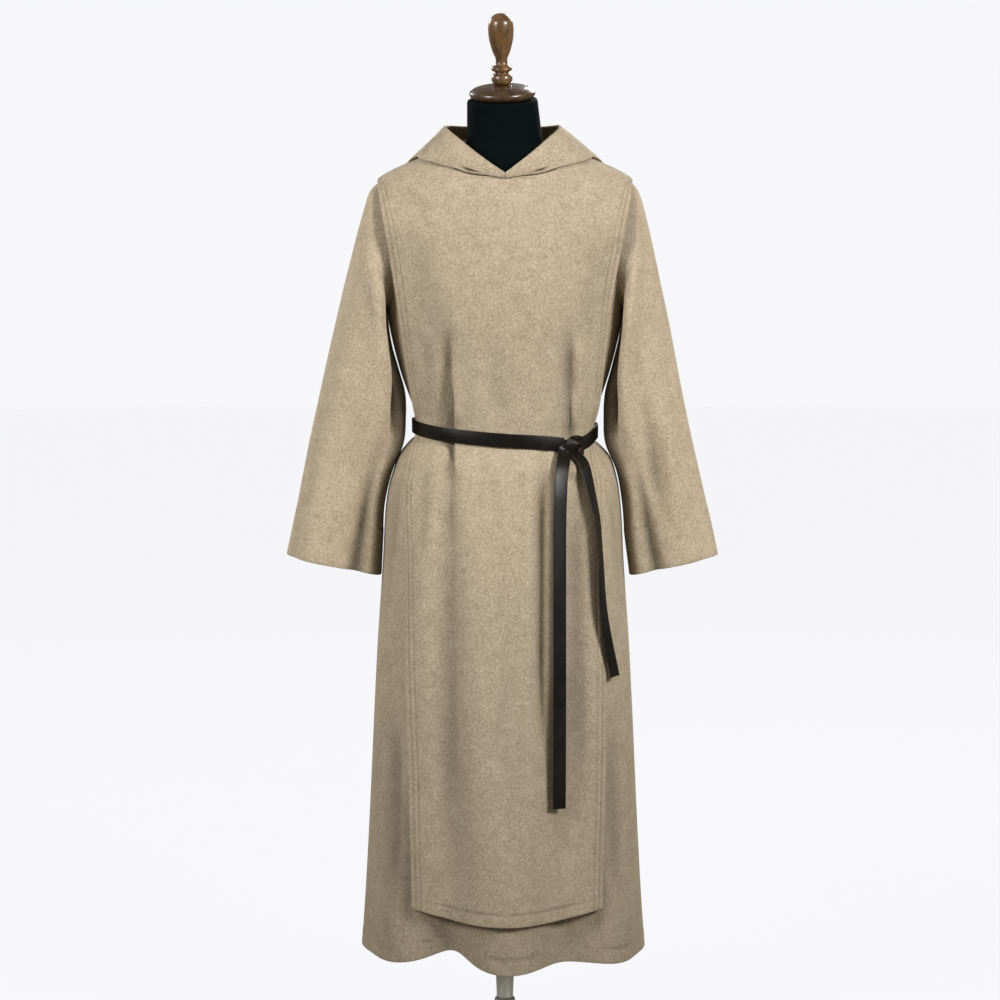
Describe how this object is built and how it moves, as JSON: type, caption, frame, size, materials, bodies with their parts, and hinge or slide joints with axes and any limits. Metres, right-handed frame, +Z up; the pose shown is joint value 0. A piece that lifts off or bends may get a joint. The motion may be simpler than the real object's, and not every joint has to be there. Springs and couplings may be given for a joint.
{
  "type": "monk habit on dress form",
  "caption": "Long wool tunic with wide sleeves, a hooded scapular over it and a knotted leather belt, standing on a dress form with a round base.",
  "frame": {"origin": "centre of the flat underside of the base, on the floor", "axes": "+Z up along the pole, -Y the way the wearer faces, +X to the wearer's left"},
  "size_m": [0.755, 0.4197, 1.8196],
  "materials": {
    "wool": "heathered beige woollen cloth, matt, softly brushed",
    "belt_leather": "black-brown smooth leather, satin",
    "form_cover": "black jersey cover, matt",
    "walnut": "dark lacquered wood, glossy",
    "stand_steel": "brushed, warm grey"
  },
  "bodies": {
    "root": {"tunic_front": "wool", "tunic_back": "wool", "sleeve_right": "wool", "sleeve_left": "wool", "scapular_front": "wool", "scapular_back": "wool", "hood_right": "wool", "hood_left": "wool", "belt_band": "belt_leather", "belt_knot": "belt_leather", "belt_tail_long": "belt_leather", "belt_tail_short": "belt_leather", "form_torso": "form_cover", "neck_cap": "walnut", "finial": "walnut", "pole": "stand_steel", "base": "stand_steel"}
  },
  "joints": []
}
